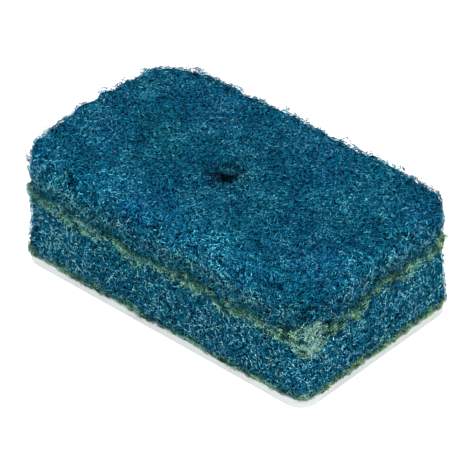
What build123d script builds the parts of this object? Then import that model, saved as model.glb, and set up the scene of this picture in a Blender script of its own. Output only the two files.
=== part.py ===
"""A scrub pad: two springy blocks of coarse nonwoven fibre, bonded to each other and to a plastic plate.

Millimetres, +Z up. The origin is the centre of the plate's underside, +X runs along the pad's length
and +Y across its width. From the bottom up the pieces are the backing plate, the adhesive layer that
holds the lower fibre block to it, the lower block, the adhesive layer between the two blocks, and the
upper block. One small hole is punched down through the fibre, as far as the plate.
"""

import os

from build123d import *

# Backing plate, stamped from plastic sheet.
plate_length = 80.0
plate_width = 48.0
plate_thickness = 2.0
plate_corner_radius = 4.4
plate_edge_ease = 0.3

# Adhesive layers. The lower one is kept inside the plate's outline, and the upper one runs out almost
# to the side of the lower block.
base_bond_thickness = 0.8
base_bond_setback = 0.3
middle_bond_thickness = 1.4
middle_bond_setback = 0.1

# Lower fibre block: held on both faces, with sides that stand a little past the plate.
lower_block_thickness = 15.7
lower_overhang = 1.0
lower_corner_radius = 5.2
lower_foot_radius = 1.0

# Upper fibre block: free on top, so it spreads over the lower one, with its top worn round and crowned.
upper_block_thickness = 9.9
upper_overhang = 2.2
upper_corner_radius = 12.0
tuck_radius = 2.0
shoulder_radius = 5.0
crown_height = 0.8

# The punched hole, a little off the centre of the width.
hole_diameter = 4.6
hole_offset_y = -2.2

# Heights at which the pieces meet.
lower_block_bottom = plate_thickness + base_bond_thickness
middle_bond_bottom = lower_block_bottom + lower_block_thickness
upper_block_bottom = middle_bond_bottom + middle_bond_thickness
top = upper_block_bottom + upper_block_thickness

# The crown is part of a sphere that falls by the crown's height from the middle to each end.
upper_half_length = plate_length / 2 + upper_overhang
crown_radius = (upper_half_length**2 + crown_height**2) / (2 * crown_height)

# The shoulder leaves a narrow upright band of the side between itself and the tuck below it.
side_band = 0.5
corner_drop = crown_height * (1 + (plate_width / 2 + upper_overhang) ** 2 / upper_half_length**2)
shoulder_room = upper_block_thickness - corner_drop - tuck_radius - side_band


def draw_outline(overhang, corner_radius):
    """Draw the plate's outline, grown by the overhang, with its own corner radius."""
    RectangleRounded(plate_length + 2 * overhang, plate_width + 2 * overhang, corner_radius)


def punch_hole():
    """Cut the hole down from the pad's top through the piece being built, as far as the plate."""
    with Locations((0, hole_offset_y, top)):
        Hole(hole_diameter / 2, depth=top - plate_thickness)


# Backing plate: flat sheet with rounded corners and eased edges.
with BuildPart() as backing_plate:
    with BuildSketch():
        draw_outline(0, plate_corner_radius)
    extrude(amount=plate_thickness)
    fillet(backing_plate.faces().filter_by(Axis.Z).edges(), plate_edge_ease)

# Adhesive layer between the plate and the lower block.
with BuildPart() as base_bond:
    with BuildSketch(Plane.XY.offset(plate_thickness)):
        draw_outline(-base_bond_setback, plate_corner_radius - base_bond_setback)
    extrude(amount=base_bond_thickness)
    punch_hole()

# Lower fibre block, with its bottom edge drawn in towards the plate.
with BuildPart() as lower_block:
    with BuildSketch(Plane.XY.offset(lower_block_bottom)):
        draw_outline(lower_overhang, lower_corner_radius)
    extrude(amount=lower_block_thickness)
    fillet(lower_block.faces().sort_by(Axis.Z)[0].edges(), lower_foot_radius)
    punch_hole()

# Adhesive layer between the two blocks, cut to the lower block's outline.
with BuildPart() as middle_bond:
    with BuildSketch(Plane.XY.offset(middle_bond_bottom)):
        draw_outline(lower_overhang - middle_bond_setback, lower_corner_radius - middle_bond_setback)
    extrude(amount=middle_bond_thickness)
    punch_hole()

# Upper fibre block: the crown is cut first, then the side is rounded into it and tucked in below.
with BuildPart() as upper_block:
    with BuildSketch(Plane.XY.offset(upper_block_bottom)):
        draw_outline(upper_overhang, upper_corner_radius)
    extrude(amount=upper_block_thickness)
    with Locations((0, 0, top - crown_radius)):
        # The sphere lies on its side, which keeps its poles away from the crown.
        Sphere(crown_radius, rotation=(90, 0, 0), mode=Mode.INTERSECT)
    crown = upper_block.faces().sort_by(Axis.Z)[-1]
    underside = upper_block.faces().sort_by(Axis.Z)[0]
    fillet(crown.edges(), min(shoulder_radius, shoulder_room))
    fillet(underside.edges(), tuck_radius)
    punch_hole()

pieces = {
    "backing_plate": backing_plate,
    "base_bond": base_bond,
    "lower_block": lower_block,
    "middle_bond": middle_bond,
    "upper_block": upper_block,
}
os.makedirs("parts", exist_ok=True)
for name, piece in pieces.items():
    piece.part.label = name
    export_step(piece.part, f"parts/{name}.step")
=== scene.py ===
"""A scrub pad: two blocks of coarse blue-green fibre bonded to each other and to a pale plastic plate.

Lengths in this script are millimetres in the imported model's frame, +Z up, and are turned into metres
where a mesh, a lamp or the camera is made.
"""

import math

import bpy
import numpy as np
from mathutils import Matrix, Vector


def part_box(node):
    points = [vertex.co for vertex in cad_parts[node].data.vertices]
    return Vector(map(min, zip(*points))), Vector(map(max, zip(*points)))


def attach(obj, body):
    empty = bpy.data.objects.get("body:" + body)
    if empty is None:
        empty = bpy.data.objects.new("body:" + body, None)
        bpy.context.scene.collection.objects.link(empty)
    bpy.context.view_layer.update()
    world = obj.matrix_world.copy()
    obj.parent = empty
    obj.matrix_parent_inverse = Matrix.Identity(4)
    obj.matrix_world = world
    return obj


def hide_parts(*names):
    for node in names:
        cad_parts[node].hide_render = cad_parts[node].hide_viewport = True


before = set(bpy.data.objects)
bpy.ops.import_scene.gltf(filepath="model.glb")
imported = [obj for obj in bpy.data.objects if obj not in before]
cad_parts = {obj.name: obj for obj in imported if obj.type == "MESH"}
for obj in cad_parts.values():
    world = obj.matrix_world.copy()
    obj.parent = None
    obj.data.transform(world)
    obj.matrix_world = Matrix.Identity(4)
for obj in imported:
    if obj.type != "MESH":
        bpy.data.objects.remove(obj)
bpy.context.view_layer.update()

MM = 0.001

# Backing plate
#
# The real plate is pale, slightly milky plastic about 2 mm thick. Its cut edge shows all round under
# the fibre, smooth, with a brighter line where the edge is eased.


def new_material(name, roughness, specular):
    """A node material with one Principled shader, and its node tree."""
    material = bpy.data.materials.new(name)
    material.use_nodes = True
    shader = material.node_tree.nodes["Principled BSDF"]
    shader.inputs["Roughness"].default_value = roughness
    shader.inputs["Specular IOR Level"].default_value = specular
    return material, material.node_tree, shader


def noise_node(tree, scale, detail, roughness=0.5):
    """A noise texture on Object coordinates, with its scale in waves for each metre."""
    place = tree.nodes.new("ShaderNodeTexCoord")
    noise = tree.nodes.new("ShaderNodeTexNoise")
    noise.inputs["Scale"].default_value = scale
    noise.inputs["Detail"].default_value = detail
    noise.inputs["Roughness"].default_value = roughness
    tree.links.new(place.outputs["Object"], noise.inputs["Vector"])
    return noise


def colour_ramp(tree, factor, stops):
    """A colour ramp on a factor, with stops of (position, colour)."""
    ramp = tree.nodes.new("ShaderNodeValToRGB")
    while len(ramp.color_ramp.elements) < len(stops):
        ramp.color_ramp.elements.new(0.5)
    for element, (position, colour) in zip(ramp.color_ramp.elements, stops):
        element.position = position
        element.color = (*colour, 1)
    tree.links.new(factor, ramp.inputs["Fac"])
    return ramp


def add_bump(tree, shader, height, distance, strength):
    """Bump from a height output, with its depth in metres."""
    bump = tree.nodes.new("ShaderNodeBump")
    bump.inputs["Distance"].default_value = distance
    bump.inputs["Strength"].default_value = strength
    tree.links.new(height, bump.inputs["Height"])
    tree.links.new(bump.outputs["Normal"], shader.inputs["Normal"])


plate_plastic, tree, shader = new_material("milky_plate_plastic", roughness=0.42, specular=0.4)
cloud = noise_node(tree, scale=90, detail=3)
tint = colour_ramp(tree, cloud.outputs["Fac"], [(0.3, (0.47, 0.50, 0.50)), (0.7, (0.54, 0.57, 0.565))])
tree.links.new(tint.outputs["Color"], shader.inputs["Base Color"])
shader.inputs["Subsurface Weight"].default_value = 0.25
shader.inputs["Subsurface Radius"].default_value = (0.0012, 0.0013, 0.0014)
shader.inputs["Subsurface Scale"].default_value = 1.0
grain = noise_node(tree, scale=2600, detail=2)
add_bump(tree, shader, grain.outputs["Fac"], distance=0.00004, strength=0.35)
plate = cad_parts["backing_plate"]
for slot in plate.material_slots:
    slot.material = plate_plastic

# Lower fibre block
#
# The real block is a springy web of crimped synthetic fibres, sprayed with binder and cut square. A dark
# core stands for the web's depth, its near-black gaps painted shade, and short curled fibres lie on and
# over it.


def wander(points, seed, wavelength, waves=7):
    """A smooth random field near -1 to 1: a few sine waves in random directions, added together."""
    rng = np.random.default_rng(seed)
    directions = rng.normal(size=(waves, 3))
    directions /= np.linalg.norm(directions, axis=1, keepdims=True)
    directions *= 2 * math.pi / (wavelength * rng.uniform(0.7, 1.5, (waves, 1)))
    phases = rng.uniform(0, 2 * math.pi, waves)
    return np.sin(points @ directions.T + phases).sum(axis=-1) / math.sqrt(waves)


def block_distance(points, low, high, corner, shoulder, foot):
    """Signed distance to a rounded block, positive outside.

    In plan it is the distance to a rectangle with round corners. That distance and the height past
    the middle are then joined the same way, with the shoulder's radius above and the foot's below.
    """
    middle, half = (low + high) / 2, (high - low) / 2
    past = np.abs(points[..., :2] - middle[:2]) - (half[:2] - corner)
    outline = np.linalg.norm(np.maximum(past, 0), axis=-1) + np.minimum(past.max(axis=-1), 0) - corner
    rise = points[..., 2] - middle[2]
    edge = np.where(rise > 0, shoulder, foot)
    pair = np.stack([outline, np.abs(rise) - half[2]], axis=-1) + edge[..., None]
    return np.linalg.norm(np.maximum(pair, 0), axis=-1) + np.minimum(pair.max(axis=-1), 0) - edge


def swelling(points, places):
    """Sum of round swellings, each a bell curve of (x, y, z, radius, height), for local high spots."""
    total = np.zeros(points.shape[:-1])
    for x, y, z, radius, height in places:
        apart = ((points - np.array([x, y, z])) ** 2).sum(axis=-1)
        total += height * np.exp(-apart / radius**2)
    return total


def outward(points, skin):
    """Unit direction away from a skin: its slope by central differences over a tenth of a millimetre."""
    reach = 0.05 * np.eye(3)
    slope = np.stack([skin(points + step) - skin(points - step) for step in reach], axis=-1)
    return slope / np.maximum(np.linalg.norm(slope, axis=-1, keepdims=True), 1e-9)


def settle(points, height, skin):
    """Move each point along the skin's slope until it stands at its own height over the skin."""
    for _ in range(3):
        points = points + outward(points, skin) * (height - skin(points))[..., None]
    return points


def scatter(rng, count, low, high, skin, keep):
    """Points spread evenly over the part of a skin that keep() accepts, by trial inside a box."""
    found = np.empty((0, 3))
    for _ in range(40):
        trial = rng.uniform(low - 1, high + 1, (60000, 3))
        trial = trial[np.abs(skin(trial)) < 0.5]
        found = np.concatenate([found, trial[keep(trial, outward(trial, skin))]])
        if len(found) >= count:
            break
    return found[:count]


def curl_fibres(rng, roots, skin, segments, reach, depth, lift):
    """Centre lines of curled fibres, as an array of (fibre, point, xyz).

    In the plane that touches the skin at its root, each fibre's heading turns steadily and wavers on
    the way, and the line is the running sum of steps along that heading. Every point then settles at
    the fibre's own depth below the skin plus a slow wave, so that fibres pass over and under.
    """
    count = len(roots)
    along = np.linspace(-0.5, 0.5, segments + 1) * reach * rng.uniform(0.75, 1.25, (count, 1))
    normal = outward(roots, skin)
    helper = rng.normal(size=(count, 3))
    first = np.cross(normal, helper)
    first /= np.linalg.norm(first, axis=1, keepdims=True)
    second = np.cross(normal, first)
    turn = rng.normal(0, 1, (count, 1))
    waver = rng.uniform(0.3, 1.2, (count, 1))
    pace = rng.uniform(2.4, 4.4, (count, 1))
    phase = rng.uniform(0, 2 * math.pi, (count, 1))
    heading = turn * along + waver * np.sin(pace * along + phase)
    step = np.diff(along, axis=1, prepend=along[:, :1])
    forward = np.cumsum(np.cos(heading) * step, axis=1)
    aside = np.cumsum(np.sin(heading) * step, axis=1)
    forward -= forward[:, segments // 2 : segments // 2 + 1]
    aside -= aside[:, segments // 2 : segments // 2 + 1]
    lines = roots[:, None] + forward[..., None] * first[:, None] + aside[..., None] * second[:, None]
    roll = rng.uniform(1.6, 3.6, (count, 1))
    shift = rng.uniform(0, 2 * math.pi, (count, 1))
    height = depth + lift * np.sin(roll * along + shift)
    return settle(lines, height, skin)


def wave_height(rng, count):
    """How far each fibre of a web rises and dips on its way: a little for most, and more for a few."""
    return np.where(rng.uniform(size=(count, 1)) < HIGH_SHARE, HIGH_WAVE, LOW_WAVE)


def fibre_arrays(lines, normals, radius):
    """Skin each centre line with a three-sided tube that runs to a point at both ends.

    A ring at a point is three corners at 120 degrees round the line, in the frame of the line's
    direction and the normal given there. Corners of neighbouring rings join into triangles, and the
    first and last points are the tips. Returns vertices and triangles.
    """
    count, points = lines.shape[:2]
    direction = np.gradient(lines, axis=1)
    direction /= np.maximum(np.linalg.norm(direction, axis=-1, keepdims=True), 1e-9)
    side = np.cross(direction, normals)
    side /= np.maximum(np.linalg.norm(side, axis=-1, keepdims=True), 1e-9)
    raised = np.cross(side, direction)
    angle = np.radians([90, 210, 330])
    ring = np.cos(angle)[:, None] * side[:, 1:-1, None] + np.sin(angle)[:, None] * raised[:, 1:-1, None]
    rings = lines[:, 1:-1, None] + ring * radius[:, None, None, None]
    vertices = np.concatenate([rings.reshape(count, -1, 3), lines[:, :1], lines[:, -1:]], axis=1)
    here = np.arange(3)
    there = (here + 1) % 3
    start = 3 * np.arange(points - 3)[:, None]
    lower = np.stack([start + here, start + there, start + 3 + there], axis=-1)
    upper = np.stack([start + here, start + 3 + there, start + 3 + here], axis=-1)
    last = 3 * (points - 3)
    root_tip, end_tip = 3 * (points - 2), 3 * (points - 2) + 1
    tips = [[root_tip, b, a] for a, b in zip(here, there)]
    tips += [[last + a, last + b, end_tip] for a, b in zip(here, there)]
    one = np.concatenate([lower.reshape(-1, 3), upper.reshape(-1, 3), np.array(tips)])
    triangles = one[None] + (vertices.shape[1] * np.arange(count))[:, None, None]
    return vertices, triangles


def strip_map(lines, triangles):
    """A map with a square cell for each fibre: along the fibre one way, and round it the other way."""
    count, points = lines.shape[:2]
    columns = math.ceil(math.sqrt(count))
    cell = np.stack(np.divmod(np.arange(count), columns)[::-1], axis=-1)
    along = np.repeat(np.arange(1, points - 1), 3)
    along = np.append(along, [0, points - 1]) / (points - 1)
    each = triangles[0]
    corner_along = along[each]
    rows = np.tile(np.arange(3), points - 3)
    row = np.concatenate([rows, rows, np.arange(3), np.arange(3)])
    upper_edge = np.zeros(each.shape)
    ahead = np.tile([[0, 1, 1]], (3 * (points - 3), 1))
    back = np.tile([[0, 1, 0]], (3 * (points - 3), 1))
    upper_edge[: len(ahead)] = ahead
    upper_edge[len(ahead) : 2 * len(ahead)] = back
    upper_edge[-6:-3] = [0.5, 1, 0]
    upper_edge[-3:] = [0, 1, 0.5]
    across = (row[:, None] + upper_edge) / 3
    margin = 0.06
    inside = margin + (1 - 2 * margin) * np.stack([corner_along, across], axis=-1)
    return (cell[:, None, None] + inside[None]) / columns


def add_mesh(name, vertices, triangles, tints=None, corner_map=None):
    """Make an object from arrays of vertices in millimetres, triangles, colours and map corners."""
    mesh = bpy.data.meshes.new(name)
    vertices = vertices.reshape(-1, 3)
    triangles = triangles.reshape(-1, 3)
    mesh.vertices.add(len(vertices))
    mesh.vertices.foreach_set("co", (vertices * MM).ravel())
    mesh.loops.add(triangles.size)
    mesh.loops.foreach_set("vertex_index", triangles.ravel())
    mesh.polygons.add(len(triangles))
    mesh.polygons.foreach_set("loop_start", np.arange(0, triangles.size, 3))
    mesh.polygons.foreach_set("use_smooth", np.ones(len(triangles), dtype=bool))
    if tints is not None:
        layer = mesh.color_attributes.new("tint", "FLOAT_COLOR", "POINT")
        layer.data.foreach_set("color", np.column_stack([tints, np.ones(len(tints))]).ravel())
    if corner_map is not None:
        layer = mesh.uv_layers.new(name="OFBake")
        layer.uv.foreach_set("vector", corner_map.ravel())
    mesh.update(calc_edges=True)
    piece = bpy.data.objects.new(name, mesh)
    bpy.context.scene.collection.objects.link(piece)
    return piece


def fibre_piece(name, rng, lines, skin, colour_of, material):
    """Turn centre lines into one piece of fibres, with a colour on each vertex from colour_of()."""
    radius = 0.5 * FIBRE * rng.uniform(0.65, 1.25, len(lines))
    vertices, triangles = fibre_arrays(lines, outward(lines, skin), radius)
    tints = colour_of(vertices, rng, len(lines))
    piece = add_mesh(name, vertices, triangles, tints.reshape(-1, 3), strip_map(lines, triangles))
    piece.data.materials.append(material)
    return piece


def mix_colours(tree, blend, first, second):
    """Blend one colour output fully with another, and return the result's output."""
    mix = tree.nodes.new("ShaderNodeMix")
    mix.data_type = "RGBA"
    mix.blend_type = blend
    mix.inputs["Factor"].default_value = 1.0
    tree.links.new(first, mix.inputs["A"])
    tree.links.new(second, mix.inputs["B"])
    return mix.outputs["Result"]


def fibre_material(name, roughness, specular, darkest):
    """Crimped synthetic fibre: its own colour from the tint layer, broken up along its length by painted
    glints and dark dips.
    """
    material, tree, shader = new_material(name, roughness, specular)
    own = tree.nodes.new("ShaderNodeAttribute")
    own.attribute_name = "tint"
    # Painted glints and dips: fine noise darkens each fibre in short stretches between bright ones.
    glints_and_dips = noise_node(tree, scale=4600, detail=0)
    stops = [(0.40, (darkest, darkest, darkest)), (0.55, (1, 1, 1))]
    shade = colour_ramp(tree, glints_and_dips.outputs["Fac"], stops)
    colour = mix_colours(tree, "MULTIPLY", own.outputs["Color"], shade.outputs["Color"])
    tree.links.new(colour, shader.inputs["Base Color"])
    return material


def core_grid(low, high, skin, top_rows, side_rows, hole_radius):
    """A closed ring of a grid: round the hole one way, and across top, side and underside the other.

    The row runs out over the top from the hole's rim, down the side, in under the block and back up
    the hole. Each spoke from the hole ends where the skin crosses zero at the block's mid height,
    found by halving. A point lies part of the way along its spoke, at its row's height.
    """
    angle = np.linspace(0, 2 * math.pi, CORE_COLUMNS, endpoint=False)
    spoke = np.stack([np.cos(angle), np.sin(angle)], axis=-1)
    mid_height = np.full((CORE_COLUMNS, 1), (low[2] + high[2]) / 2)
    near, far = np.full((CORE_COLUMNS, 1), 8.0), np.full((CORE_COLUMNS, 1), 70.0)
    for _ in range(24):
        trial = (near + far) / 2
        tried = np.concatenate([HOLE_CENTRE + spoke * trial, mid_height], axis=1)
        outside = skin(tried)[:, None] > 0
        near, far = np.where(outside, near, trial), np.where(outside, trial, far)
    over_top = np.linspace(0, 1, top_rows) ** 0.8
    down_hole = np.linspace(0, 1, 4)[1:-1]
    share = np.concatenate([over_top, np.ones(side_rows), [1, 0], 0 * down_hole])
    level = np.concatenate([1 + 0 * over_top, np.linspace(1, 0, side_rows + 2)[1:-1], [0, 0], down_hole])
    plan = HOLE_CENTRE + spoke * (hole_radius + share[:, None, None] * (near - hole_radius))
    height = low[2] + level * (high[2] - low[2])
    tall = np.broadcast_to(height[:, None, None], plan.shape[:2] + (1,))
    return np.concatenate([plan, tall], axis=-1)


def draw_in_side(grid, skin, depth):
    """Move the side of a core in to its depth below the skin, level by level, keeping each height."""
    inner = grid
    for _ in range(2):
        inner = settle(inner, -depth, skin)
        inner[..., 2] = grid[..., 2]
    return np.where((np.abs(skin(grid)) < 2.5)[..., None], inner, grid)


def close_grid(grid):
    """Triangles that join a grid of points both ways round, facing out for rows that run outwards."""
    rows, columns = grid.shape[:2]
    row, column = np.meshgrid(np.arange(rows), np.arange(columns), indexing="ij")
    next_row, next_column = (row + 1) % rows, (column + 1) % columns
    a, b = row * columns + column, next_row * columns + column
    c, d = next_row * columns + next_column, row * columns + next_column
    return np.stack([np.stack([a, b, c], axis=-1), np.stack([a, c, d], axis=-1)])


def box_mm(node):
    """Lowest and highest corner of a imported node, in millimetres."""
    low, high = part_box(node)
    return np.array(low) / MM, np.array(high) / MM


def fold_between(points, low, high):
    """Mirror heights that pass a floor or a ceiling back inside, so that no fibre crosses either."""
    tall = points[..., 2]
    tall = low + np.abs(tall - low)
    tall = high - np.abs(high - tall)
    return np.concatenate([points[..., :2], tall[..., None]], axis=-1)


lower_low, lower_high = box_mm("lower_block")
plate_top = box_mm("backing_plate")[1][2]
bond_low, bond_high = box_mm("middle_bond")
upper_low, upper_high = box_mm("upper_block")

# A web fibre's thickness, segments and length, and how many lie in each of a block's pieces.
FIBRE = 0.122
SEGMENTS = 3
FIBRE_LENGTH = 1.2
BOND_FIBRE_LENGTH = 1.5
LOWER_FIBRES = 10000
UPPER_FIBRES = 15200
BASE_BOND_FIBRES = 5400
MIDDLE_BOND_FIBRES = 7800
HOLE_STRAYS = 80

# How deep the blocks' cores lie under the skin, and how many columns a core's grid has.
CORE_DEPTH = 0.45
CORE_COLUMNS = 160

# The height a fibre waves by, for the few high ones and the rest.
HIGH_SHARE = 0.03
HIGH_WAVE = 0.6
LOW_WAVE = 0.22

# Where things stand in plan.
HOLE_CENTRE = np.array([0.0, -2.2])
HOLE_RADIUS = 2.3
FRONT_CORNER = np.array([39.2, -22.0])
LEFT_CORNER = np.array([-40, -24])
# Past this x the lower block's end face is brightened as painted light.
PAINTED_LIGHT_END = 37
WIDER_BOND_END = 38
BOND_SPREAD = 1.3

# Linear colours from the darkest fibre to the palest, on top and on the sides, then the bonds' own. The
# sides' palest steps are partly fibre colour and partly painted highlight.
SHADE_STEPS = np.array([0, 0.42, 0.78, 1])
TOP_SHADES = np.array(
    [
        [0.0002, 0.006, 0.024],
        [0.001, 0.096, 0.225],
        [0.018, 0.305, 0.530],
        [0.170, 0.720, 0.880],
    ]
)
SIDE_SHADES = np.array(
    [
        [0.0002, 0.004, 0.012],
        [0.004, 0.156, 0.318],
        [0.075, 0.555, 0.840],
        [0.370, 0.930, 1.000],
    ]
)
BOND_GREEN = np.array([0.250, 0.760, 0.520])
BOND_YELLOW = np.array([0.390, 0.780, 0.300])
BOND_PALE = np.array([0.360, 0.970, 0.870])
BOND_DARK = np.array([0.004, 0.070, 0.052])
BOND_BROWN = np.array([0.420, 0.270, 0.070])


def corner_droop(points):
    """How far the bond line sags below level, in millimetres.

    It lies about a millimetre low all round, where adhesive has run down, and falls in a narrow cone
    nearly 5 mm deep at the front corner. It also sags at the corner to its left, rises along the end
    to its right, and wanders by about half a millimetre.
    """
    away = np.linalg.norm(points[..., :2] - FRONT_CORNER, axis=-1)
    left = np.linalg.norm(points[..., :2] - LEFT_CORNER, axis=-1)
    rise = np.exp(-(((points[..., 0] - 44) / 7) ** 2) - ((points[..., 1] - 4) / 16) ** 2)
    level = points * np.array([1, 1, 0])
    cone = 4.9 * np.exp(-((away / 3.2) ** 1.5))
    droop = 1.1 + cone + 1.2 * np.exp(-left / 6) - 1.1 * rise
    return droop + 0.5 * wander(level, 61, 12) + 0.3 * wander(level, 65, 5)


def lower_skin(points):
    """The lower block's side, run on past its bonds above and below, with slow unevenness."""
    past = np.array([0, 0, 6.0])
    inset = np.array([0.2, 0.2, 0])
    plain = block_distance(points, lower_low - past + inset, lower_high + past - inset, 5.0, 1, 1)
    foot = 0.4 * np.exp(-(((points[..., 2] - plate_top) / 1.5) ** 2))
    places = [(-42, -25, 14, 10, -1.6), (-41, -24, 3, 4, 0.3), (41, 24, 16, 9, -1.9)]
    uneven = 0.25 * wander(points, 11, 16) + 0.2 * wander(points, 12, 5) + 0.1 * wander(points, 13, 3)
    pressed = np.clip((points[..., 2] - plate_top) / 6, 0.35, 1)
    return plain + foot - uneven * pressed - swelling(points, places)


def mixed_blues(vertices, rng, count, depth, side):
    """Blue for each fibre, from navy through teal to pale cyan, darker with depth in the web as painted
    shade.

    Each fibre draws one number for its shade, and each vertex varies it a little, with slow patches over
    the block. side is 1 on the side of a block, where shades are greyer and spread wider, with palest
    steps that are partly painted highlight, and 0 on top. The shade then reads off a row of colours by
    linear interpolation.
    """
    own = rng.uniform(-0.5, 0.5, (count, 1)) * (1.03 + 0.47 * side)
    shade = 0.45 + own + (0.10 + 0.08 * side) * rng.normal(size=vertices.shape[:-1])
    shade = shade + 0.09 * wander(vertices, 5, 14) + 0.07 * wander(vertices, 8, 7)
    lean = 0.07 * wander(vertices, 6, 18)[..., None] * np.array([0, 1, -0.4])
    top = np.stack([np.interp(shade, SHADE_STEPS, channel) for channel in TOP_SHADES.T], axis=-1)
    # The side row's palest steps are partly painted highlight.
    flank = np.stack([np.interp(shade, SHADE_STEPS, channel) for channel in SIDE_SHADES.T], axis=-1)
    tints = top + side[..., None] * (flank - top)
    # Painted shade: fibres lying deeper under the skin are darkened.
    sunk = np.clip(1.15 + 0.6 * depth, 0.25, 1.2)[..., None]
    return np.clip(tints * sunk * (1 + lean), 0, 0.9)


def near_level(height, level, spread):
    """1 at a level and 0 well away from it, in a bell curve."""
    return np.exp(-(((height - level) / spread) ** 2))[..., None]


def stain(tints, share, colour):
    """Mix a bond's colour into the tints by a share of 0 to 1."""
    return tints + np.clip(share, 0, 1) * (colour - tints)


def lower_tints(vertices, rng, count):
    """The lower block's blues, brightened as painted light, and stained green where fibres run into the
    bond under them.
    """
    tints = mixed_blues(vertices, rng, count, lower_skin(vertices), np.ones(vertices.shape[:-1]))
    # Painted light: the lower block's side is brightened against the shade under the upper block, and its
    # right end face more.
    tints = tints * (1.25 + 0.15 * (vertices[..., :1] > PAINTED_LIGHT_END))
    odd = rng.uniform(size=(count, 1, 1))
    broken = 0.5 + 0.6 * wander(vertices, 21, 8)[..., None]
    tints = stain(tints, 0.5 * near_level(vertices[..., 2], plate_top + 1.6, 1.6), BOND_DARK * (0.6 + odd))
    green = np.where(odd < 0.7, BOND_GREEN, BOND_YELLOW) * (0.3 + 0.6 * odd)
    return stain(tints, 0.9 * broken * near_level(vertices[..., 2], plate_top + 1.4, 1.4), green)


blue_fibre = fibre_material("blue_scouring_fibre", roughness=0.55, specular=0.04, darkest=0.14)


def web_lines(tree, scale, width, seeds):
    """Thin curled lines in space, where a noise field crosses its middle value, from several fields."""
    lines = None
    for seed in seeds:
        noise = noise_node(tree, scale=scale * (1 + 0.17 * seed), detail=1)
        noise.noise_dimensions = "4D"
        noise.inputs["W"].default_value = 3.7 * seed
        black, white = (0, 0, 0), (1, 1, 1)
        stops = [(0.5 - width, black), (0.5, white), (0.5 + width, black)]
        ramp = colour_ramp(tree, noise.outputs["Fac"], stops).outputs["Color"]
        lines = ramp if lines is None else mix_colours(tree, "LIGHTEN", lines, ramp)
    return lines


def web_material(name, gap_shade_colour, line_colour, scale):
    """The depth of the web: dark gaps of painted shade crossed by curled lines of fibre, with bump from
    the same lines.
    """
    material, tree, shader = new_material(name, roughness=1.0, specular=0.0)
    lines = web_lines(tree, scale=scale, width=0.035, seeds=(1, 2, 3))
    tint = colour_ramp(tree, lines, [(0.1, gap_shade_colour), (0.9, line_colour)])
    tree.links.new(tint.outputs["Color"], shader.inputs["Base Color"])
    add_bump(tree, shader, lines, distance=0.0004, strength=0.7)
    return material


# Near-black gaps: painted shade of the web's depth.
core_blue = web_material("deep_web", (0.0001, 0.003, 0.011), (0.009, 0.215, 0.365), scale=880)

rng = np.random.default_rng(3)
grid = core_grid(lower_low, lower_high, lower_skin, 2, 14, HOLE_RADIUS + 0.6)
grid = draw_in_side(grid, lower_skin, CORE_DEPTH)
lower_core = add_mesh("lower_block_core", grid, close_grid(grid))
lower_core.data.materials.append(core_blue)
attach(lower_core, "root")
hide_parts("lower_block")


def lower_side(points, normals):
    """The part of the lower block that shows: its side, from the plate to the middle bond."""
    return (points[:, 2] > plate_top + 0.8) & (points[:, 2] < bond_high[2]) & (np.abs(normals[:, 2]) < 0.5)


for letter in "ab":
    roots = scatter(rng, LOWER_FIBRES, lower_low, lower_high, lower_skin, lower_side)
    depth = 0.1 - 0.75 * rng.uniform(size=(len(roots), 1))
    lift = wave_height(rng, len(roots))
    lines = curl_fibres(rng, roots, lower_skin, SEGMENTS, FIBRE_LENGTH, depth, lift)
    lines = fold_between(lines, plate_top + 0.15, upper_low[2] + 1)
    web = fibre_piece("lower_block_web_" + letter, rng, lines, lower_skin, lower_tints, blue_fibre)
    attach(web, "root")

# Upper fibre block
#
# The same web, free on top, so that it spreads a little past the lower block. Its top edge is worn
# round, its corners are rounder still, and a small punched hole runs down through its middle.


def loose_edge(points):
    """1 along the upper block's top edge, where the web is worn, and 0 well away from it."""
    middle, reach = (upper_low + upper_high) / 2, (upper_high - upper_low) / 2
    inside = (reach[:2] - np.abs(points[..., :2] - middle[:2])).min(axis=-1)
    return np.clip(1.3 - inside / 4, 0, 1) * np.clip((points[..., 2] - 22) / 4, 0, 1)


def frayed(points):
    """How far the web is pulled open: in patches along the worn edge, and nowhere else."""
    return loose_edge(points) * np.clip(0.5 + 0.8 * wander(points, 36, 5), 0, 1.3)


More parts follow.
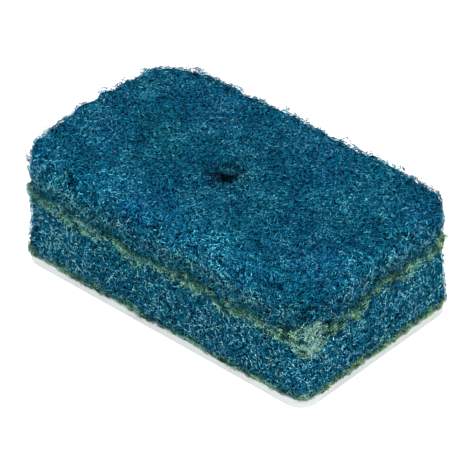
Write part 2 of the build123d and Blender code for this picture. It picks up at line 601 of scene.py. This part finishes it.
def upper_skin(points):
    """The upper block: crowned, rounded, a little uneven, and opened by the hole with a worn rim.

    Its underside sags with the bond line: heights are read as higher by the line's droop, from none
    of it at 26 mm up to all of it at 20 mm. The hole's mouth is an oval, narrower across one diagonal,
    with a shallow hollow behind it. It joins by a smooth maximum, which rounds its rim.
    """
    sag = corner_droop(points) * np.clip((26 - points[..., 2]) / 6, 0, 1)
    read = points + np.stack([0 * sag, 0 * sag, sag], axis=-1)
    low, high = upper_low + [0.2, 0.2, -0.6], upper_high - [0.2, 0.2, 0.3]
    plain = block_distance(read, low, high, 11.0, 4.0, 2.0)
    middle = (upper_low + upper_high) / 2
    reach = (upper_high - upper_low)[:2] / 2
    fall = (((points[..., :2] - middle[:2]) / reach) ** 2).sum(axis=-1)
    places = [(-43, -8, 27, 7, 0.8), (-42, 8, 28, 9, 0.7), (-34, 24, 29, 8, -0.5)]
    places += [(6, 27, 28, 5, -0.8), (26, 27, 28, 8, 0.7), (41, 18, 26, 11, -1.0)]
    uneven = 0.25 * wander(points, 31, 17) + 0.2 * wander(points, 32, 7) + 0.12 * wander(points, 33, 3.2)
    uneven = uneven + swelling(points, places) + 0.6 * loose_edge(points) * wander(points, 34, 5)
    behind_hole = np.array([*HOLE_CENTRE + [-0.3, 2.2], 29.4])
    crater = 1.2 * np.exp(-(((points - behind_hole) ** 2).sum(axis=-1)) / 5)
    body = plain + 0.35 * fall - uneven + crater
    turned = (points[..., :2] - HOLE_CENTRE - [-0.5, 0.9]) @ np.array([[0.87, -0.62], [0.87, 0.62]])
    across = np.linalg.norm(turned, axis=-1)
    open_hole = HOLE_RADIUS + 0.6 + 0.3 * wander(points, 71, 5) + 0.3 * wander(points, 72, 2.2) - across
    blend = 1.8
    shared = np.maximum(blend - np.abs(body - open_hole), 0)
    return np.maximum(body, open_hole) + shared**2 / (4 * blend)


def upper_tints(vertices, rng, count):
    """The upper block's blues: richer on top, paler and more mixed on the side, green by the bond. Above
    the bond they darken, partly stain and partly painted shade; painted shade also darkens the hole, three
    patches on the top and the side round 23 mm, and a painted highlight brightens the top toward the front
    and the right end.
    """
    side = np.clip((upper_high[2] - 1.5 - vertices[..., 2]) / 3.5, 0, 1)
    tints = mixed_blues(vertices, rng, count, upper_skin(vertices), side)
    odd = rng.uniform(size=(count, 1, 1))
    height = vertices[..., 2] + corner_droop(vertices)
    broken = 0.5 + 0.7 * wander(vertices, 41, 9)[..., None]
    # Dark green above the bond: partly adhesive stain, partly painted shade under the overhang.
    stain_and_shade = 0.55 + 0.45 * wander(vertices, 42, 5)[..., None]
    tints = stain(tints, stain_and_shade * near_level(height, upper_low[2] + 1.6, 1.8), BOND_DARK * (0.6 + odd))
    green = np.where(odd < 0.7, BOND_GREEN, BOND_YELLOW) * (0.2 + 0.5 * odd)
    tints = stain(tints, broken * near_level(height, upper_low[2], 1.2), green)
    # Painted shade down the hole: fibres below the top near the hole are darkened.
    away = np.linalg.norm(vertices[..., :2] - HOLE_CENTRE - [-0.4, 1.4], axis=-1)
    sunk = np.clip((upper_high[2] - 0.3 - vertices[..., 2]) / 1.1, 0, 1) * (away < 4.5)
    tints = tints * (1 - 0.9 * sunk[..., None])
    # Painted highlight: the top brightens toward the front edge and the right end.
    past_front = (upper_low[1] + 13 - vertices[..., 1]) / 11
    past_end = (vertices[..., 0] - upper_high[0] + 13) / 20
    painted_highlight = 0.6 * np.clip(np.maximum(past_front, past_end), 0, 1) * (1 - side)
    # Painted shade of hollows: three soft dark patches on the top, with no hollow in the skin.
    painted_hollow_shade = swelling(vertices, [(-21, 10, 29, 4, 0.35), (33, -1, 29, 4, 0.25), (-8, -4, 29, 16, 0.1)])
    # Painted shade: the side is darkened round 23 mm, where the upper block bulges most and catches light.
    return tints * (1 + painted_highlight - painted_hollow_shade)[..., None] * (1 - 0.13 * near_level(vertices[..., 2], 23.3, 1.6))


grid = core_grid(upper_low, upper_high, upper_skin, 32, 12, HOLE_RADIUS + 1.2)
level = draw_in_side(grid, upper_skin, CORE_DEPTH)
shown = grid[..., 2] > upper_low[2] + 0.01
sunk = settle(grid, -CORE_DEPTH - 0.3 * frayed(grid), upper_skin)
grid = np.where(shown[..., None], sunk, level)
upper_core = add_mesh("upper_block_core", grid, close_grid(grid))
upper_core.data.materials.append(core_blue)
# Painted shade: the core's faces round the hole get a near-black web.
hole_wall_shade = web_material("hole_wall_shade", (0.0001, 0.002, 0.008), (0.006, 0.030, 0.060), scale=900)
upper_core.data.materials.append(hole_wall_shade)
centres = np.empty(3 * len(upper_core.data.polygons))
upper_core.data.polygons.foreach_get("center", centres)
from_axis = np.linalg.norm(centres.reshape(-1, 3)[:, :2] / MM - HOLE_CENTRE, axis=1)
upper_core.data.polygons.foreach_set("material_index", (from_axis < HOLE_RADIUS + 2.2).astype(np.int32))
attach(upper_core, "root")
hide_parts("upper_block")


def upper_outside(points, normals):
    """The part of the upper block that shows: top, side and tuck, and a little way down the hole."""
    away = np.linalg.norm(points[:, :2] - HOLE_CENTRE, axis=1)
    in_hole = (away < 4) & (points[:, 2] < upper_high[2] - 2.5)
    return (normals[:, 2] > -0.75) & ~in_hole


reach_down = np.array([0, 0, 5.0])
for letter in "abc":
    roots = scatter(rng, UPPER_FIBRES, upper_low - reach_down, upper_high, upper_skin, upper_outside)
    share = rng.uniform(size=(len(roots), 1))
    depth = 0.1 - 0.75 * share + frayed(roots)[:, None] * (0.55 - 0.7 * share)
    lift = wave_height(rng, len(roots))
    lines = curl_fibres(rng, roots, upper_skin, SEGMENTS, FIBRE_LENGTH, depth, lift)
    web = fibre_piece("upper_block_web_" + letter, rng, lines, upper_skin, upper_tints, blue_fibre)
    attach(web, "root")


def loose_tints(vertices, rng, count):
    """Navy to mid blue, for single fibres that have pulled loose."""
    return rng.uniform(0.15, 1, (count, 1, 1)) * np.array([0.012, 0.190, 0.330]) + 0 * vertices


for node, skin, count in (("lower_block", lower_skin, 160), ("upper_block", upper_skin, 440)):
    low, high = box_mm(node)
    shown = upper_outside if node == "upper_block" else lower_side
    roots = scatter(rng, count, low + [0, 0, 4], high, skin, shown)
    rise = rng.uniform(0.2, 0.8, (len(roots), 1))
    lines = curl_fibres(rng, roots, skin, 5, 2.6, rise, 0.4)
    lines = fold_between(lines, plate_top + 0.3, upper_high[2] + 2)
    web = fibre_piece(node + "_loose", rng, lines, skin, loose_tints, blue_fibre)
    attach(web, "root")


def worn_level(points):
    """Height over a level plane just under the top, which crosses the open hole."""
    return points[..., 2] - (upper_high[2] - 0.9)


def stray_tints(vertices, rng, count):
    """Blue fibres pulled over the hole's rim, dimmer and greyer the nearer they lie to its middle."""
    blue = mixed_blues(vertices, rng, count, -0.3 + 0 * vertices[..., 0], np.zeros(vertices.shape[:-1]))
    away = np.linalg.norm(vertices[..., :2] - HOLE_CENTRE, axis=-1)[..., None]
    inner = np.clip(1.6 - away / 1.6, 0, 1)
    return stain(blue * 0.8, inner, np.array([0.030, 0.060, 0.110]) * rng.uniform(0.4, 1.8, (count, 1, 1)))


turn = rng.uniform(0, 2 * math.pi, HOLE_STRAYS)
away = (HOLE_RADIUS + 0.7) * rng.uniform(0.15, 1, HOLE_STRAYS) ** 0.3
places = np.stack([away * np.cos(turn), away * np.sin(turn), rng.uniform(-0.4, 0.4, HOLE_STRAYS)], axis=-1)
places += [*HOLE_CENTRE, upper_high[2] - 0.9]
lines = curl_fibres(rng, places, worn_level, 6, 1.9, rng.uniform(-0.9, 0.35, (HOLE_STRAYS, 1)), 0.25)
web = fibre_piece("hole_strays", rng, lines, worn_level, stray_tints, blue_fibre)
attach(web, "root")

# Adhesive bonds
#
# Yellow-green adhesive is sprayed on before the blocks are pressed together, and soaks into the ends
# of the fibres. It shows as a broken band between the blocks and a thinner one above the plate.


def both_blocks(points):
    """The outer side of both blocks together: the lesser of their two distances."""
    return np.minimum(lower_skin(points), upper_skin(points))


def bond_skin(points):
    """The side of both blocks with a lumpy ridge along the bond between them.

    The ridge is a bell curve round the bond's height, with a swelling that follows its droop at the
    front corner.
    """
    droop = corner_droop(points)
    ridge = 0.1 * np.exp(-(((points[..., 2] + droop - bond_high[2] + 0.4) / 1.6) ** 2))
    tuft = 0.24 * np.maximum(droop, 0) * np.exp(-(((points[..., 2] - 18) / 4) ** 4))
    lumps = 0.12 * wander(points, 51, 8) + 0.2 * wander(points, 53, 2.5) - 0.1
    lumps = lumps + swelling(points, [(-42, -25, 18, 6, -0.7)])
    return both_blocks(points) - ridge - tuft - lumps


def bond_tints(vertices, rng, count):
    """Green, pale green and near-black green fibres, in patches, palest at the front corner, darker with
    depth as painted shade.
    """
    odd = rng.uniform(size=(count, 1, 1))
    strength = rng.uniform(size=(count, 1, 1))
    clump = 0.8 * wander(vertices, 52, 2.2) + 0.7 * wander(vertices, 55, 1.3)
    clump = (clump + 0.4 * wander(vertices, 54, 10))[..., None]
    low = vertices[..., 2:] < plate_top + 3
    end = np.clip((vertices[..., :1] - 25) / 12, 0, 1)
    yellower = 0.12 + (0.45 + 0.2 * low) * end
    pale = np.clip(corner_droop(vertices) / 1.5 - 1.2, 0, 1)[..., None]
    light = BOND_GREEN + np.clip(strength + 0.8 * pale - 0.5, 0, 1) * (BOND_PALE - BOND_GREEN)
    light = np.where(odd < yellower * (1 - 0.6 * pale), BOND_YELLOW * (1 + 0.3 * pale), light)
    light = np.where(low & (odd > 0.88), BOND_BROWN, light)
    share = 0.47 + clump + 1.2 * (strength - 0.5) + 0.4 * pale
    share = np.clip(share + low * (0.12 + 0.4 * end) + 0.15 * end, 0, 1)
    tints = BOND_DARK + share**2.1 * (light * (1.0 + 0.5 * strength) - BOND_DARK)
    # Painted shade: bond fibres deeper under the skin are darkened.
    sunk = np.clip(1.15 + 0.55 * bond_skin(vertices), 0.25, 1.15)[..., None]
    return np.clip(tints * sunk * rng.uniform(0.75, 1.15, tints.shape[:-1] + (1,)), 0, 0.9)


bond_fibre = fibre_material("bonded_fibre", roughness=0.5, specular=0.08, darkest=0.16)
crust = web_material("bond_crust", (0.0004, 0.006, 0.007), (0.050, 0.190, 0.110), scale=900)

for node, count in (("base_bond", BASE_BOND_FIBRES), ("middle_bond", MIDDLE_BOND_FIBRES)):
    low, high = box_mm(node)
    grid = core_grid(low, high, bond_skin, 2, 3, HOLE_RADIUS + 1.0)
    grid = draw_in_side(grid, both_blocks, 1.2)
    layer = add_mesh(node + "_layer", grid, close_grid(grid))
    layer.data.materials.append(crust)
    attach(layer, "root")
    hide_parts(node)
    level = (low[2] + high[2]) / 2
    droops = node == "middle_bond"

    def in_bond(points, normals):
        """Roots on the pad's side at the bond's height, and further down at the front corner."""
        sag = droops * corner_droop(points)
        rise = points[:, 2] + sag - level
        width = BOND_SPREAD + 0.7 * wander(points * [1, 1, 0], 62, 9)
        width = width + (0.6 - 0.2 * droops) * (points[:, 0] > WIDER_BOND_END)
        whole = (wander(points, 63, 3.5) > -0.45) | (sag > 3)
        top = width + 2.3 * np.maximum(sag - 1.3, 0) + 0.5 * wander(points, 64, 3)
        return whole & (rise > -width) & (rise < top)

    roots = scatter(rng, count, low - [0, 0, 5 * droops], high + [0, 0, 1], bond_skin, in_bond)
    depth = 0.1 - 0.9 * rng.uniform(size=(len(roots), 1))
    lines = curl_fibres(rng, roots, bond_skin, SEGMENTS, BOND_FIBRE_LENGTH, depth, 0.3)
    middle = lines[:, 2:3, 2]
    lines[..., 2] = middle + (lines[..., 2] - middle) * 0.75
    lines = fold_between(lines, plate_top + 0.1, upper_high[2])
    web = fibre_piece(node + "_web", rng, lines, bond_skin, bond_tints, bond_fibre)
    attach(web, "root")

# Floor, lights and camera
#
# A plain pale floor under soft light from all round, with one large soft lamp above the pad's front.

FLOOR_SIZE = 6.0
FLOOR_GAP = 0.03
FLOOR_GLOW = 0.62
ROOM_LIGHT = 0.50


def seen_rays(tree):
    """1 for rays from the camera, off gloss or through glass, and 0 for the rays that carry light."""
    path = tree.nodes.new("ShaderNodeLightPath")
    either = path.outputs["Is Camera Ray"]
    for kind in ("Is Glossy Ray", "Is Transmission Ray"):
        most = tree.nodes.new("ShaderNodeMath")
        most.operation = "MAXIMUM"
        tree.links.new(either, most.inputs[0])
        tree.links.new(path.outputs[kind], most.inputs[1])
        either = most.outputs["Value"]
    return either


corners = np.array([[-1, -1, 0], [1, -1, 0], [1, 1, 0], [-1, 1, 0]]) * FLOOR_SIZE / 2 / MM
corners -= [0, 0, FLOOR_GAP]
floor = add_mesh("floor", corners, np.array([[0, 1, 2], [0, 2, 3]]))
pale_floor = bpy.data.materials.new("pale_floor")
pale_floor.use_nodes = True
tree = pale_floor.node_tree
tree.nodes.clear()
output = tree.nodes.new("ShaderNodeOutputMaterial")
matt = tree.nodes.new("ShaderNodeBsdfDiffuse")
matt.inputs["Color"].default_value = (0.78, 0.78, 0.78, 1)
glow = tree.nodes.new("ShaderNodeEmission")
glow.inputs["Color"].default_value = (1, 1, 1, 1)
lift = tree.nodes.new("ShaderNodeMath")
lift.operation = "MULTIPLY"
lift.inputs[1].default_value = FLOOR_GLOW
tree.links.new(seen_rays(tree), lift.inputs[0])
tree.links.new(lift.outputs["Value"], glow.inputs["Strength"])
both = tree.nodes.new("ShaderNodeAddShader")
tree.links.new(matt.outputs["BSDF"], both.inputs[0])
tree.links.new(glow.outputs["Emission"], both.inputs[1])
tree.links.new(both.outputs["Shader"], output.inputs["Surface"])
floor.data.materials.append(pale_floor)

world = bpy.data.worlds.new("soft_room")
bpy.context.scene.world = world
world.use_nodes = True
room = world.node_tree.nodes["Background"]
room.inputs["Color"].default_value = (1, 1, 1, 1)
tree = world.node_tree
bright = tree.nodes.new("ShaderNodeMath")
bright.operation = "MULTIPLY_ADD"
bright.inputs[1].default_value = 1 - ROOM_LIGHT
bright.inputs[2].default_value = ROOM_LIGHT
tree.links.new(seen_rays(tree), bright.inputs[0])
tree.links.new(bright.outputs["Value"], room.inputs["Strength"])


def soft_lamp(name, place, size, watts):
    """A square area lamp at a place in millimetres, turned towards the pad."""
    data = bpy.data.lights.new(name, "AREA")
    data.size = size * MM
    data.energy = watts
    lamp = bpy.data.objects.new(name, data)
    lamp.location = Vector(place) * MM
    lamp.rotation_euler = (-lamp.location).to_track_quat("-Z", "Y").to_euler()
    bpy.context.scene.collection.objects.link(lamp)
    return lamp


soft_lamp("high_front_lamp", (-60, -420, 520), 180, 4.0)
soft_lamp("high_end_lamp", (460, 40, 420), 220, 3.1)
soft_lamp("low_back_lamp", (-420, 360, 300), 300, 1.6)

azimuth, elevation, distance = math.radians(41.9), math.radians(36.3), 802
aim = Vector((1.2, -0.8, 13.1))
back = Vector(
    (
        math.sin(azimuth) * math.cos(elevation),
        -math.cos(azimuth) * math.cos(elevation),
        math.sin(elevation),
    )
)
camera_data = bpy.data.cameras.new("camera")
camera_data.lens = 288.6
camera_data.sensor_width = 36
camera_data.clip_end = 20
camera = bpy.data.objects.new("camera", camera_data)
camera.location = (aim + back * distance) * MM
camera.rotation_euler = (-back).to_track_quat("-Z", "Y").to_euler()
bpy.context.scene.collection.objects.link(camera)
bpy.context.scene.camera = camera
bpy.context.scene.view_settings.view_transform = "Standard"
